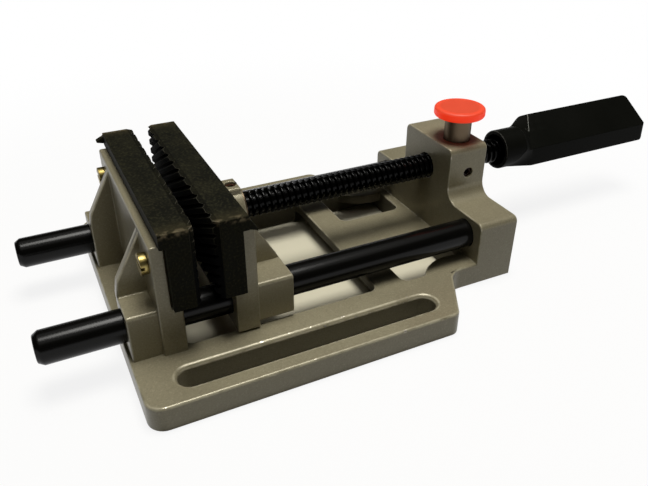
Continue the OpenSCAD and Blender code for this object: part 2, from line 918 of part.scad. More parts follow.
// Moulded handle: hollow round neck that flares into a tilted flat paddle
module handle() {
    neck_r = neck_d / 2;
    side = paddle_w / 2;
    color(black_plastic)
        translate([0, 0, screw_z])
            rotate([0, paddle_tilt, 0])
                difference() {
                    union() {
                        rotate([-90, 0, 0])
                            rotate_extrude()
                                polygon([
                                    [0, neck_y],
                                    [neck_r - turned_chamfer, neck_y],
                                    [neck_r, neck_y + turned_chamfer],
                                    [neck_r, paddle_y],
                                    [0, paddle_y]
                                ]);
                        hull() {
                            bar_y(neck_r - seam, paddle_y - over, paddle_y, $fn = 32);
                            paddle_part([
                                [-side, shoulder_y, shoulder_r],
                                [side, shoulder_y, 0],
                                [side, lower_flare_y, 0],
                                [-side, upper_flare_y, 0]
                            ]);
                        }
                        handle_keel();
                        paddle_part([
                            [-side, upper_flare_y, 0],
                            [side, lower_flare_y, 0],
                            [side, handle_y, paddle_corner_r],
                            [-side, handle_y, paddle_corner_r]
                        ]);
                    }
                    bar_y(mouth_d / 2, neck_y - over, mouth_y);
                    intersection() {
                        bar_y(tang_d / 2 + hold_fit, mouth_y - over, mouth_y + tang_l + hold_fit);
                        translate([0, mouth_y, 0])
                            cube([2 * tang_d, 4 * tang_l, tang_t + 2 * hold_fit], center = true);
                    }
                }
}

// Plunger beside the screw: a gripping notch, a deeper notch above it that frees the screw,
// and a keyway for the guide screw
module release_plunger() {
    grip_r = screw_r + notch_gap;
    free_r = grip_r + release_depth;
    spigot_r = spigot_d / 2;
    length = cap_z - plunger_foot_z;
    color(bright_steel)
        difference() {
            translate([plunger_offset, plunger_y, plunger_foot_z])
                rotate_extrude()
                    polygon([
                        [0, 0],
                        [plunger_r - turned_chamfer, 0],
                        [plunger_r, turned_chamfer],
                        [plunger_r, length],
                        [spigot_r, length],
                        [spigot_r, length + spigot_l],
                        [0, length + spigot_l]
                    ]);
            translate([0, 0, screw_z])
                bar_y(grip_r, tower_y, rear_y);
            translate([0, 0, screw_z + press_travel])
                bar_y(free_r, tower_y, rear_y);
            translate([0, tower_y, screw_z])
                cube([grip_r, tower_d, press_travel]);
            translate([
                plunger_offset + plunger_r - keyway_d,
                plunger_y - keyway_w / 2,
                guide_z - keyway_w / 2
            ])
                cube([plunger_r, keyway_w, press_travel + keyway_w]);
        }
}

// Mushroom cap on the plunger's spigot, slightly dished
module button_cap() {
    r = cap_d / 2;
    steps = corner_steps;
    color(cap_red)
        translate([plunger_offset, plunger_y, cap_z])
            difference() {
                rotate_extrude()
                    polygon(concat(
                        [[0, 0], [r - cap_edge_r, 0]],
                        [for (k = [0 : steps])
                            [
                                r - cap_edge_r + cap_edge_r * sin(90 * k / steps),
                                cap_edge_r - cap_edge_r * cos(90 * k / steps)
                            ]],
                        [for (k = [0 : steps])
                            [
                                r - cap_edge_r + cap_edge_r * cos(90 * k / steps),
                                cap_t - cap_edge_r + cap_edge_r * sin(90 * k / steps)
                            ]],
                        [[r - 2 * cap_edge_r, cap_t], [0, cap_t - cap_dish]]
                    ));
                translate([0, 0, -over])
                    cylinder(d = spigot_d + 2 * hold_fit, h = over + spigot_l + hold_fit);
            }
}

// Points of the spring's wire: rings round a helix from the pocket's floor to the plunger's foot
ring_sides = 6;
rings_per_turn = 12;
ring_count = spring_turns * rings_per_turn;
spring_z = pocket_z + wire_d / 2;
spring_h = plunger_foot_z - pocket_z - wire_d;
spring_pitch = spring_h / spring_turns;
function ring_point(ring, side) =
    let(
        turn = 360 * ring / rings_per_turn,
        across = 360 * side / ring_sides,
        r = spring_d / 2 + wire_d / 2 * cos(across)
    )
    [r * cos(turn), r * sin(turn), spring_z + spring_h * ring / ring_count + wire_d / 2 * sin(across)];
// Least gap between one turn and the next, measured on the points of two neighbouring turns
turn_gap = min([for (a = [0 : ring_sides - 1]) for (b = [0 : ring_sides - 1])
    norm(ring_point(rings_per_turn, a) - ring_point(0, b))]);
echo(least_gap_between_spring_turns = turn_gap);

// Return spring under the plunger
module plunger_spring() {
    last = ring_count * ring_sides;
    color(bright_steel)
        translate([plunger_offset, plunger_y, 0])
            polyhedron(
                [for (i = [0 : ring_count]) for (j = [0 : ring_sides - 1]) ring_point(i, j)],
                concat(
                    [[for (j = [0 : ring_sides - 1]) j]],
                    [for (i = [0 : ring_count - 1]) for (j = [0 : ring_sides - 1])
                        let(a = i * ring_sides + j, b = i * ring_sides + (j + 1) % ring_sides)
                        each [[a, a + ring_sides, b], [b, a + ring_sides, b + ring_sides]]],
                    [[for (j = [ring_sides - 1 : -1 : 0]) last + j]]
                )
            );
}

base_casting();
fixed_jaw_plate();
fixed_jaw_screw_left();
fixed_jaw_screw_right();
guide_rod_left();
guide_rod_right();
rod_pin_left();
rod_pin_right();
plunger_guide_screw();
moving_jaw_casting();
moving_jaw_plate();
moving_jaw_screw_left();
moving_jaw_screw_right();
hub_grub_screw();
lead_screw();
thrust_washer();
handle();
release_plunger();
button_cap();
plunger_spring();
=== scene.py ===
# %% [markdown]
# # A drill press vise, dressed over its CAD frame
# The vise is a painted die-casting with two black guide rods, a black lead screw and a red
# push button. Its solids come from the CAD model, with every size and place already settled,
# so this lesson is about looks: rounded cast edges, a real screw thread, and a finish for
# each material. A script is used, and not the mouse, so the vise comes out the same each run.

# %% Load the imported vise
import math
import bmesh
import bpy
from mathutils import Matrix, Vector


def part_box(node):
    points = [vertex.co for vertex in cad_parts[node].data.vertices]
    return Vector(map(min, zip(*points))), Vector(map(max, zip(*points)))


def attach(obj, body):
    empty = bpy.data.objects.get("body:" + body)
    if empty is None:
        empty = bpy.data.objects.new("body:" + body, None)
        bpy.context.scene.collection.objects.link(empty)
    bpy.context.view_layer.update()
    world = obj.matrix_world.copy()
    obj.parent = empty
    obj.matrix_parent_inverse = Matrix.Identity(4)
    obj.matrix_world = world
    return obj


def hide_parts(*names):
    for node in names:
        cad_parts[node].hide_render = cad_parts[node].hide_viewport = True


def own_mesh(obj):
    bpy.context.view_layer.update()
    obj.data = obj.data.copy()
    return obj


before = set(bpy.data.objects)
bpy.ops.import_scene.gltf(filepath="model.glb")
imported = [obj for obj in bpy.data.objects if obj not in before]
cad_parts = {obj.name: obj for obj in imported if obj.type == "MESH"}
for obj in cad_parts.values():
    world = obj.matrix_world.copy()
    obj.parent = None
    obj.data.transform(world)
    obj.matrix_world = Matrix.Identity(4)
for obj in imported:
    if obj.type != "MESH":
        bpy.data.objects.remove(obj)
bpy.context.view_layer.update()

# %% [markdown]
# ## The camera
# The photograph was taken from the front corner of the vise, a little above it. The place and
# the lens were worked out from the known corners of the casting. A camera can be turned with
# angles, but three axes written as a matrix say directly where right, up and back are.

# %% Camera
MM = 0.001
EYE = (253.1, -109.1, 185.5)
RIGHT = (0.4365, 0.8997, 0.0003)
UP = (-0.4733, 0.2294, 0.8505)
BACK = (0.7651, -0.3714, 0.5260)
FOCAL_PIXELS = 673.33
PHOTO_WIDTH = 648


def place_camera():
    data = bpy.data.cameras.new("photo_camera")
    data.sensor_fit = "HORIZONTAL"
    data.sensor_width = 36
    data.lens = FOCAL_PIXELS / PHOTO_WIDTH * data.sensor_width
    data.clip_start = 0.01
    camera = bpy.data.objects.new("photo_camera", data)
    turn = Matrix((RIGHT, UP, BACK)).transposed().to_4x4()
    camera.matrix_world = Matrix.Translation(Vector(EYE) * MM) @ turn
    bpy.context.scene.collection.objects.link(camera)
    bpy.context.scene.camera = camera
    return data.lens


print("lens in mm:", round(place_camera(), 2))

# %% [markdown]
# ## From a CAD solid to a soft-edged piece
# A casting has no knife edges: paint and the mould leave each one round. The CAD mesh arrives
# as loose triangles that share no corners, so it is welded first, and its flat faces are
# joined. Then each sharp edge gets a radius of its own as a bevel weight, and one Bevel
# modifier rounds them all, because it mends the corners where several radii meet. Where a
# rounded edge stands out, its points are marked as "rub", and where it lies in a corner, as
# "nook", so that the finishes know where edges are rubbed paler, partly wear and partly a
# painted highlight, and which inside corners they make darker.

# %% Weld a CAD node
def welded(node):
    work = bmesh.new()
    work.from_mesh(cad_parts[node].data)
    bmesh.ops.remove_doubles(work, verts=work.verts, dist=0.002 * MM)
    bmesh.ops.dissolve_limit(
        work, angle_limit=math.radians(0.3), verts=work.verts, edges=work.edges
    )
    return work


# %% Round the edges of a mesh
SHARP = math.radians(31)
WIDEST = 2.0
BEVEL_FACE = 1


def stands_out(edge):
    return edge.calc_face_angle_signed(0) > 0


def middle(edge):
    return (edge.verts[0].co + edge.verts[1].co) / (2 * MM)


def soften(work, radius_of, segments=3, sharp=SHARP):
    """Rounds each sharp edge of a bmesh by radius_of(edge) in mm, and gives a new bmesh."""
    weight = work.edges.layers.float.new("bevel_weight_edge")
    for edge in work.edges:
        if edge.is_manifold and edge.calc_face_angle(0) > sharp:
            edge[weight] = radius_of(edge) / WIDEST
    mesh = bpy.data.meshes.new("sharp_solid")
    work.to_mesh(mesh)
    work.free()
    mesh.materials.append(None)
    mesh.materials.append(None)
    holder = bpy.data.objects.new("sharp_solid", mesh)
    bpy.context.scene.collection.objects.link(holder)
    bevel = holder.modifiers.new("soft_edges", "BEVEL")
    bevel.limit_method = "WEIGHT"
    bevel.width = WIDEST * MM
    bevel.segments = segments
    bevel.use_clamp_overlap = False
    bevel.material = BEVEL_FACE
    ready = holder.evaluated_get(bpy.context.evaluated_depsgraph_get())
    soft = bmesh.new()
    soft.from_mesh(ready.to_mesh())
    bpy.data.objects.remove(holder)
    bpy.data.meshes.remove(mesh)
    soft.edges.layers.float.remove(soft.edges.layers.float["bevel_weight_edge"])
    return soft


# %% Turn a finished bmesh into a piece that rides on a body
def mark_rub(work):
    """Marks the middle of each rounded edge, as "rub" where it stands out, else as "nook"."""
    rub = work.verts.layers.float.new("rub")
    nook = work.verts.layers.float.new("nook")
    for point in work.verts:
        if all(f.material_index == BEVEL_FACE for f in point.link_faces):
            bend = sum(e.calc_face_angle_signed(0) for e in point.link_edges)
            point[rub if bend > 0 else nook] = 1


def piece(name, work, body, finish, *nodes, crisp=SHARP):
    """Makes an object of a bmesh that rides on a body and takes the place of CAD nodes."""
    if "rub" not in work.verts.layers.float:
        mark_rub(work)
    for face in work.faces:
        face.material_index = 0
        face.smooth = True
    for edge in work.edges:
        edge.smooth = edge.calc_face_angle(0) < crisp
    mesh = bpy.data.meshes.new(name)
    work.to_mesh(mesh)
    work.free()
    mesh.materials.append(finish)
    made = bpy.data.objects.new(name, mesh)
    bpy.context.scene.collection.objects.link(made)
    made.modifiers.new("even_normals", "WEIGHTED_NORMAL").keep_sharp = True
    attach(made, body)
    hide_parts(*nodes)
    print(name, "has", len(mesh.polygons), "faces")
    return made


# %% [markdown]
# ## Writing finishes as sums
# A finish is a tree of shader nodes, and wiring one by hand takes many lines. Here a small
# class wraps a socket, so that `1 - mask` or `grain * 0.2` adds the Math nodes by itself. A
# second class holds the tree of one finish, and one method of it makes any other node: its
# type, its settings, then what goes into its sockets.

# %% Shader sockets that can be added and multiplied
class Wire:
    def __init__(self, finish, socket):
        self.finish = finish
        self.socket = socket

    def __add__(self, other):
        return self.finish.math("ADD", self, other)

    def __sub__(self, other):
        return self.finish.math("SUBTRACT", self, other)

    def __rsub__(self, other):
        return self.finish.math("SUBTRACT", other, self)

    def __mul__(self, other):
        return self.finish.math("MULTIPLY", self, other)

    __radd__ = __add__
    __rmul__ = __mul__


# %% The tree of one finish
class Finish:
    def __init__(self, name, tree):
        self.name = name
        self.tree = tree
        tree.nodes.clear()

    def node(self, kind, settings=None, sockets=None, out=0):
        """Makes a node, then its settings, then the values or links of its sockets."""
        made = self.tree.nodes.new(kind)
        for key, value in (settings or {}).items():
            setattr(made, key, value)
        for key, value in (sockets or {}).items():
            if isinstance(value, Wire):
                self.tree.links.new(value.socket, made.inputs[key])
            else:
                made.inputs[key].default_value = value
        return Wire(self, made.outputs[out]) if made.outputs else None

    def math(self, operation, a, b=0.0):
        return self.node("ShaderNodeMath", {"operation": operation}, {0: a, 1: b})

    def blend(self, share, a, b):
        colours = {0: share, 6: a, 7: b}
        return self.node("ShaderNodeMix", {"data_type": "RGBA"}, colours, out=2)

    def place(self):
        return self.node("ShaderNodeTexCoord", out="Object")

    def along(self, axis):
        """Where a point lies along X, Y or Z, in millimetres of the shared frame."""
        return self.node("ShaderNodeSeparateXYZ", None, {0: self.place()}, out=axis) * 1000

    def noise(self, scale, detail=2.0, stretch=(1, 1, 1)):
        where = {0: self.place(), "Scale": stretch}
        spread = self.node("ShaderNodeMapping", None, where)
        sockets = {"Vector": spread, "Scale": scale, "Detail": detail}
        return self.node("ShaderNodeTexNoise", None, sockets, out="Fac")

    def step(self, value, low, high):
        sockets = {"Value": value, "From Min": low, "From Max": high}
        return self.node("ShaderNodeMapRange", {"interpolation_type": "SMOOTHSTEP"}, sockets)

    def mark(self, name):
        return self.node("ShaderNodeAttribute", {"attribute_name": name}, out="Fac")

    def bump(self, height, depth_mm):
        sockets = {"Height": height, "Distance": depth_mm * MM, "Strength": 1}
        return self.node("ShaderNodeBump", None, sockets)


# %% Start a material, end it in a surface, and read a colour
def new_finish(name, slot=None):
    material = bpy.data.materials.new(name)
    material.use_nodes = True
    if slot:
        material["slot"] = slot
    return material, Finish(name, material.node_tree)


def surface(finish, sockets):
    shader = finish.node("ShaderNodeBsdfPrincipled", None, sockets)
    finish.node("ShaderNodeOutputMaterial", None, {"Surface": shader})
    print(finish.name, "is made of", len(finish.tree.nodes), "shader nodes")


def tint(red, green, blue):
    """A colour as a paint chip is read, 0 to 255, turned into Blender's linear numbers."""
    def straight(c):
        c /= 255
        return c / 12.92 if c <= 0.04045 else ((c + 0.055) / 1.055) ** 2.4
    return (straight(red), straight(green), straight(blue), 1)


# %% [markdown]
# ## The grey paint
# The castings wear a satin grey paint with a warm cast. It is thin over the rounded edges,
# where it has been rubbed paler, a paleness that also stands for a painted highlight there,
# and the metal shows in a few chips, and it has the slight orange peel and the speckle of
# spray paint. Noise at five sizes does this: wide clouds for the tone, patches for the rubbing,
# spots for the chips, and two fine ones for the peel and the speckle. The paint is glossy
# enough to mirror the white paper, which brightens its upright sides, so its specular level is
# high and tinted warm. Round the plunger a painted reflection of the red cap tints the paint.

# %% Paint
PLUNGER_X, PLUNGER_Y = 7.8, 81.3


def from_plunger(f):
    away_x = f.along("X") - PLUNGER_X
    away_y = f.along("Y") - PLUNGER_Y
    return f.math("SQRT", away_x * away_x + away_y * away_y)


# painted reflection: the red of the cap, painted on the top round the plunger
def painted_cap_reflection(f):
    return (1 - f.step(from_plunger(f), 6.5, 13)) * f.step(f.along("Z"), 54, 56)


def make_paint():
    material, f = new_finish("satin_grey_paint", "paint")
    clouds = f.noise(26, 3)
    patches = f.noise(190, 3)
    peel = f.noise(900, 1)
    grain = f.noise(1500, 2)
    rub = f.mark("rub")
    nook = f.mark("nook")
    tone = f.blend(f.step(clouds, 0.3, 0.7), tint(127, 120, 98), tint(141, 134, 110))
    tone = f.blend(f.step(grain, 0.5, 0.7) * 0.3, tone, tint(98, 92, 74))
    tone = f.blend((1 - f.step(grain, 0.3, 0.42)) * 0.35, tone, tint(168, 161, 138))
    # darker in patches in the inside corners
    tone = f.blend(nook * patches * 0.35, tone, tint(104, 97, 77))
    # paler rubbed edges: partly wear, partly a painted highlight on the rounded edges
    worn = rub * f.step(patches, 0.3, 0.6)
    tone = f.blend(worn * 0.65, tone, tint(188, 181, 156))
    chip = rub * f.step(f.noise(420, 2), 0.66, 0.70)
    tone = f.blend(chip, tone, tint(186, 180, 166))
    # painted reflection of the red cap round the plunger
    tone = f.blend(painted_cap_reflection(f) * 0.6, tone, tint(142, 62, 44))
    rough = 0.27 + 0.14 * patches - 0.05 * worn
    height = peel * 0.6 + patches * 0.8 + grain * 0.25
    surface(f, {
        "Base Color": tone,
        "Roughness": rough,
        "Metallic": chip * 0.8,
        "Specular IOR Level": 0.9,
        "Specular Tint": (1, 0.94, 0.74, 1),
        "Normal": f.bump(height, 0.05),
    })
    return material


paint = make_paint()

# %% [markdown]
# ## Black steel
# The guide rods and the screw are blackened and oiled, so they are near black and smooth, with
# one soft streak of light along each. Fine scratches run the way the rod was ground, so the
# noise is stretched along the rod before it changes the roughness. The lead screw is oiled
# most, so it is the blackest and smoothest, and the two little set screws have gone brown.

# %% Black steel
def make_black_steel(name, dark, pale, worn, oil=0.0, shine=0.1):
    material, f = new_finish(name, "black_steel")
    streaks = f.noise(1500, 2, (1, 0.02, 1))
    smears = f.noise(60, 3, (1, 0.4, 1))
    rub = f.mark("rub")
    tone = f.blend(smears, dark, pale)
    tone = f.blend(rub * f.step(smears, 0.4, 0.65) * 0.5, tone, worn)
    rough = 0.14 - oil + 0.1 * smears + 0.06 * streaks
    surface(f, {
        "Base Color": tone,
        "Roughness": rough,
        "Specular IOR Level": shine,
        "Normal": f.bump(streaks, 0.006),
    })
    return material


black_steel = make_black_steel(
    "blackened_steel", tint(7, 7, 6), tint(13, 12, 10), tint(60, 57, 50), shine=0.17
)
oiled_steel = make_black_steel(
    "oiled_steel", tint(2, 2, 2), tint(5, 5, 5), tint(40, 40, 38), oil=0.07
)
brown_steel = make_black_steel(
    "browned_steel", tint(44, 25, 17), tint(64, 38, 27), tint(90, 66, 50)
)

# %% [markdown]
# ## The jaw plates' steel
# The jaw plates are pressed from powder and blackened: dull, a little brown, with a fine grain.
# Their tops are paler at the ends, where they are handled, and the last edge there has been
# knocked about, so it is tan where the black is gone. The faces between the jaws get painted
# shade, darker the deeper they lie, and high up the crests of the teeth get a painted
# highlight. The end faces show the fine level lines of the cutter.

# %% Jaw steel
def make_jaw_steel():
    material, f = new_finish("blackened_jaw_steel", "black_jaw")
    grain = f.noise(1000, 3)
    smears = f.noise(85, 4)
    ends = f.math("ABSOLUTE", f.along("X"))
    knocked = f.step(ends, 48.2, 50.4) * f.step(f.along("Z"), 63.6, 65.2)
    bare = knocked * f.step(f.noise(330, 4), 0.42, 0.6)
    tone = f.blend(f.step(smears, 0.35, 0.65), tint(18, 18, 11), tint(29, 28, 18))
    tone = f.blend(f.step(grain, 0.5, 0.68) * 0.55, tone, tint(52, 51, 35))
    tone = f.blend((1 - f.step(grain, 0.34, 0.48)) * 0.6, tone, tint(9, 9, 5))
    handled = f.step(ends, 42, 49) * f.step(f.along("Z"), 65.6, 66.2)
    tone = f.blend(handled * 0.3, tone, tint(66, 60, 40))
    between = f.step(f.along("Y"), -63.6, -63.2) * (1 - f.step(f.along("Y"), -52.4, -52))
    # painted shade: the faces between the jaws are painted darker the deeper they lie
    painted_shade_depth = 1 - 0.55 * f.step(f.along("Z"), 48, 66)
    tone = f.blend(between * painted_shade_depth, tone, tint(2, 2, 2))
    # painted highlight on the tooth crests high up between the jaws
    tone = f.blend(between * f.mark("rub") * (1 - painted_shade_depth), tone, tint(120, 117, 102))
    tone = f.blend(bare * 0.7, tone, tint(116, 105, 82))
    lines = f.math("SINE", f.along("Z") * (math.tau / 1.7)) * f.step(ends, 50.8, 50.95)
    surface(f, {
        "Base Color": tone,
        "Roughness": 0.6 + 0.15 * smears - 0.12 * bare + 0.2 * between,
        "Metallic": bare * 0.4,
        "Specular IOR Level": 0.07,
        "Normal": f.bump(grain * 0.5 + smears + lines * 0.8, 0.025),
    })
    return material


jaw_steel = make_jaw_steel()

# %% [markdown]
# ## Bright steel, brass, plastic
# The plunger is turned steel that has gone grey, so rings round its axis show. The jaw screws
# are brass, partly dulled. The handle is black moulded plastic, with a painted highlight on its
# crease and on the upper part of its rim. The button cap is a strong orange red that lets light
# through, so its rim and side glow in their own colour, which a little painted emission stands
# for.

# %% Bright steel
def make_bright_steel():
    material, f = new_finish("turned_steel", "bright_steel")
    rings = f.noise(1800, 2, (0.03, 0.03, 1))
    smears = f.noise(120, 3)
    tone = f.blend(smears, tint(86, 73, 58), tint(112, 98, 80))
    surface(f, {
        "Base Color": tone,
        "Roughness": 0.36 + 0.15 * smears,
        "Metallic": 1.0,
        "Normal": f.bump(rings, 0.012),
    })
    return material


bright_steel = make_bright_steel()

# %% Brass
def make_brass():
    material, f = new_finish("brass", "brass")
    smears = f.noise(260, 3)
    rings = f.noise(2400, 2, (1, 0.05, 1))
    tone = f.blend(f.step(smears, 0.35, 0.7), tint(160, 144, 90), tint(94, 81, 42))
    surface(f, {
        "Base Color": tone,
        "Roughness": 0.27 + 0.2 * smears,
        "Metallic": 1.0,
        "Normal": f.bump(rings, 0.008),
    })
    return material


brass = make_brass()

# %% Black plastic
def make_black_plastic():
    material, f = new_finish("black_moulded_plastic", "black_plastic")
    skin = f.noise(1700, 2)
    smears = f.noise(45, 3)
    rub = f.mark("rub")
    scuff = rub * f.step(f.noise(330, 2), 0.4, 0.6)
    # painted highlight: where the rub mark is high, on the crease and the upper rim, the
    # plastic is painted pale
    crease = f.step(rub, 0.55, 0.95)
    tone = f.blend(smears, tint(11, 12, 9), tint(18, 18, 15))
    tone = f.blend(scuff * 0.35, tone, tint(66, 66, 60))
    tone = f.blend(crease * 0.8, tone, tint(150, 150, 144))
    surface(f, {
        "Base Color": tone,
        "Roughness": 0.34 + 0.18 * smears + 0.1 * scuff,
        "Specular IOR Level": 0.035,
        "Normal": f.bump(skin, 0.012),
    })
    return material


black_plastic = make_black_plastic()

# %% Red plastic
def make_red_plastic():
    material, f = new_finish("orange_red_plastic", "cap_red")
    skin = f.noise(1300, 2)
    smears = f.noise(140, 3)
    rub = f.mark("rub")
    tone = f.blend(smears, tint(226, 72, 40), tint(238, 82, 50))
    tone = f.blend(rub * 0.2, tone, tint(255, 110, 74))
    # painted glow: emission on the rim and side stands for light coming through the plastic
    rim = f.step(from_plunger(f), 8.4, 10.4)
    side = rim * (1 - f.step(f.along("Z"), 72.2, 73.2))
    surface(f, {
        "Base Color": tone,
        "Roughness": 0.42 + 0.14 * smears,
        "Emission Color": f.blend(rim * 0.25 + side * 0.75, (0, 0, 0, 1), tint(255, 54, 22)),
        "Emission Strength": 0.65,
        "Normal": f.bump(skin, 0.01),
    })
    return material


red_plastic = make_red_plastic()

# %% [markdown]
# ## The two castings
# The base and the moving jaw are die-cast. The outer top edge of the flanges is the softest,
# over a millimetre, and ribs, walls and bosses have less. On the base the edges that stand
# out are rounded first and the corners that lie inside after them, since one pass for both
# folds the large flat faces. A few short corners stay sharp, where there is no room for a
# radius. The hub of the moving jaw looks a little shorter in the photograph than in the CAD
# model, so its end is drawn in by a few millimetres here.

# %% Where the bores of the base are
ROD_X, ROD_Z = 36, 22.2
SCREW_Z = 42.1
BORES = (
    ("y", ROD_X, ROD_Z, 6.8), ("y", -ROD_X, ROD_Z, 6.8), ("y", 0, SCREW_Z, 9.5),
    ("y", 40, 50, 3), ("y", -40, 50, 3), ("z", PLUNGER_X, PLUNGER_Y, 6.6),
    ("z", ROD_X, 80.6, 2.1), ("z", -ROD_X, 80.6, 2.1), ("x", PLUNGER_Y, 44, 2.6),
)


def at_bore(at):
    """True at a bore, listed by its axis, its two places across that axis and its radius."""
    flat = {"x": (at.y, at.z), "y": (at.x, at.z), "z": (at.x, at.y)}
    return any(math.dist(flat[axis], (a, b)) < r + 0.5 for axis, a, b, r in BORES)


print("bores with their own small radius:", len(BORES))

# %% Base casting
BLOCK_FRONT, BLOCK_BACK, SMALL_FACE = 71, 90.4, 46
FLANGE_TOP, FLANGE_IN, FLANGE_OUT = 11, 48, 70
FRONT_END, FLANGE_BACK = -84, 38
RIM_R, CAST_R, FOOT_R, BORE_EDGE_R, TIGHT_R, HOLLOW_R = 1.2, 0.7, 0.4, 0.3, 0.15, 0.5


def within_block(edge):
    """True on the edges of the small faces inside the rear block, in mm and square mm."""
    small = max(f.calc_area() for f in edge.link_faces) < SMALL_FACE * MM * MM
    return BLOCK_FRONT < middle(edge).y < BLOCK_BACK and small


def base_crest(edge):
    """Radius of an edge that stands out."""
    at = middle(edge)
    if not stands_out(edge) or within_block(edge):
        return 0
    if at_bore(at):
        return BORE_EDGE_R
    if at.z < 0.5:
        return FOOT_R
    on_top = abs(at.z - FLANGE_TOP) < 0.1
    if on_top and -68.5 < at.y < -64 and 40 < abs(at.x) < 45:
        return TIGHT_R
    outer = abs(at.x) > FLANGE_OUT or at.y > FLANGE_BACK or at.y < FRONT_END
    return RIM_R if on_top and abs(at.x) > FLANGE_IN and outer else CAST_R


def base_hollow(edge):
    """Radius of an edge that lies in a corner."""
    at = middle(edge)
    if stands_out(edge) or within_block(edge) or at_bore(at):
        return 0
    return 0 if abs(at.x) > 45.5 or at.y < -88 else HOLLOW_R


base = soften(soften(welded("base_casting"), base_crest), base_hollow)
piece("vise_base", base, "base", paint, "base_casting")

# %% Moving jaw casting
HUB_SHORT, PAD_SHORT = 3.4, 2.0
HUB_HALF, PAD_END, HUB_END = 12, -26.6, -25.5
JAW_R = 0.42


def jaw_casting_edge(edge):
    at = middle(edge)
    tight = 24 < abs(at.x) < 33 or at.z < 14
    return 0 if tight and not stands_out(edge) else JAW_R


def shortened_hub(work):
    """Draws in the end of the hub, and by less the end of the pad on top of it."""
    for point in work.verts:
        at = point.co / MM
        if abs(at.x) < HUB_HALF and at.y > PAD_END:
            point.co.y -= (HUB_SHORT if at.y > HUB_END else PAD_SHORT) * MM
    return work


slide = soften(shortened_hub(welded("moving_jaw_casting")), jaw_casting_edge)
piece("moving_jaw", slide, "moving_jaw", paint, "moving_jaw_casting")

# %% [markdown]
# ## Jaw plates and small parts
# The teeth of the jaw plates are cut sharp, so their crests get only a tenth of a millimetre,
# and the outer edges a little more. The claw of the moving plate hangs down beside its wall.
# The rods, screws, plunger and cap are turned or moulded parts whose edges are broken by a
# small radius, enough to catch the light. The washer follows the end of the shorter hub.

# %% Jaw plates
TOOTH_EDGE_R, PLATE_EDGE_R = 0.1, 0.35
BETWEEN_JAWS_Y, LIP_FROM_MIDDLE = -57.75, 16.75
CLAW_TIP_DROP, CLAW_ROOT_DROP = 3.8, 1.8


def jaw_edge(edge):
    at = middle(edge)
    toothed = -63.5 < at.y < -52 and abs(at.x) < 48.6
    return TOOTH_EDGE_R if toothed else PLATE_EDGE_R


def hooked(work):
    """Bends the claw at one end of the lip down beside the end of the wall."""
    for point in work.verts:
        at = point.co / MM
        behind = abs(at.y - BETWEEN_JAWS_Y) - LIP_FROM_MIDDLE
        if abs(at.x) > 47.9 and 60.5 < at.z < 64.5 and behind > -0.05:
            point.co.z -= (CLAW_TIP_DROP if behind > 1 else CLAW_ROOT_DROP) * MM


for side, body in (("fixed", "base"), ("moving", "moving_jaw")):
    node = side + "_jaw_plate"
    plate = welded(node)
    if side == "moving":
        hooked(plate)
    piece(side + "_jaw_teeth", soften(plate, jaw_edge), body, jaw_steel, node)

# %% Turned and moulded small parts
SMALL_PARTS = (
    ("guide_rod_left", "base", black_steel, 0.5),
    ("guide_rod_right", "base", black_steel, 0.5),
    ("fixed_jaw_screw_left", "base", brass, 0.25),
    ("fixed_jaw_screw_right", "base", brass, 0.25),
    ("moving_jaw_screw_left", "moving_jaw", brass, 0.25),
    ("moving_jaw_screw_right", "moving_jaw", brass, 0.25),
    ("plunger_guide_screw", "base", brown_steel, 0.12),
    ("hub_grub_screw", "moving_jaw", brown_steel, 0.12),
    ("rod_pin_left", "base", bright_steel, 0.15),
    ("rod_pin_right", "base", bright_steel, 0.15),
    ("button_cap", "plunger", red_plastic, 0.5),
)
for node, body, finish, radius in SMALL_PARTS:
    piece("soft_" + node, soften(welded(node), lambda edge: radius), body, finish, node)

# %% Plunger, slimmer by a hair so that it slides in the facets of its bore
SLIMMER = 0.99
plunger = welded("release_plunger")
to_axis = Matrix.Translation(Vector((-PLUNGER_X, -PLUNGER_Y, 0)) * MM)
bmesh.ops.scale(plunger, vec=(SLIMMER, SLIMMER, 1), space=to_axis, verts=plunger.verts)
plunger = soften(plunger, lambda edge: 0.2)
piece("soft_release_plunger", plunger, "plunger", bright_steel, "release_plunger")

# %% Thrust washer against the shorter hub
washer = welded("thrust_washer")
bmesh.ops.translate(washer, verts=washer.verts, vec=(0, -HUB_SHORT * MM, 0))
washer = soften(washer, lambda edge: 0.15)
piece("soft_thrust_washer", washer, "screw", bright_steel, "thrust_washer")

# %% [markdown]
# ## The lead screw
# In the CAD model the screw is a plain bar of the outer diameter. The real one has a
# right-hand trapezoidal thread, 3 mm to the turn. A Screw modifier could sweep a tooth, but it
# leaves open ends. Here the points of one tooth are turned and moved on together, the strip
# is cut by a plane at each end, and the cut is joined to the rings of the plain ends. The
# crests have a small smooth-shaded chamfer, which gives each turn its glint.

# %% Thread
PITCH = 3.0
CREST_R, ROOT_R = 6.0, 4.55
TOOTH = (
    (0.0, CREST_R - 0.15), (0.05, CREST_R), (0.25, CREST_R), (0.3, CREST_R - 0.15),
    (0.47, ROOT_R), (0.83, ROOT_R),
)
TURN_STEPS = 40
THREAD_START, THREAD_END = -23.65 - HUB_SHORT, 111.6


def spun(radius, angle, y):
    return Vector((radius * math.sin(angle), y, SCREW_Z + radius * math.cos(angle))) * MM


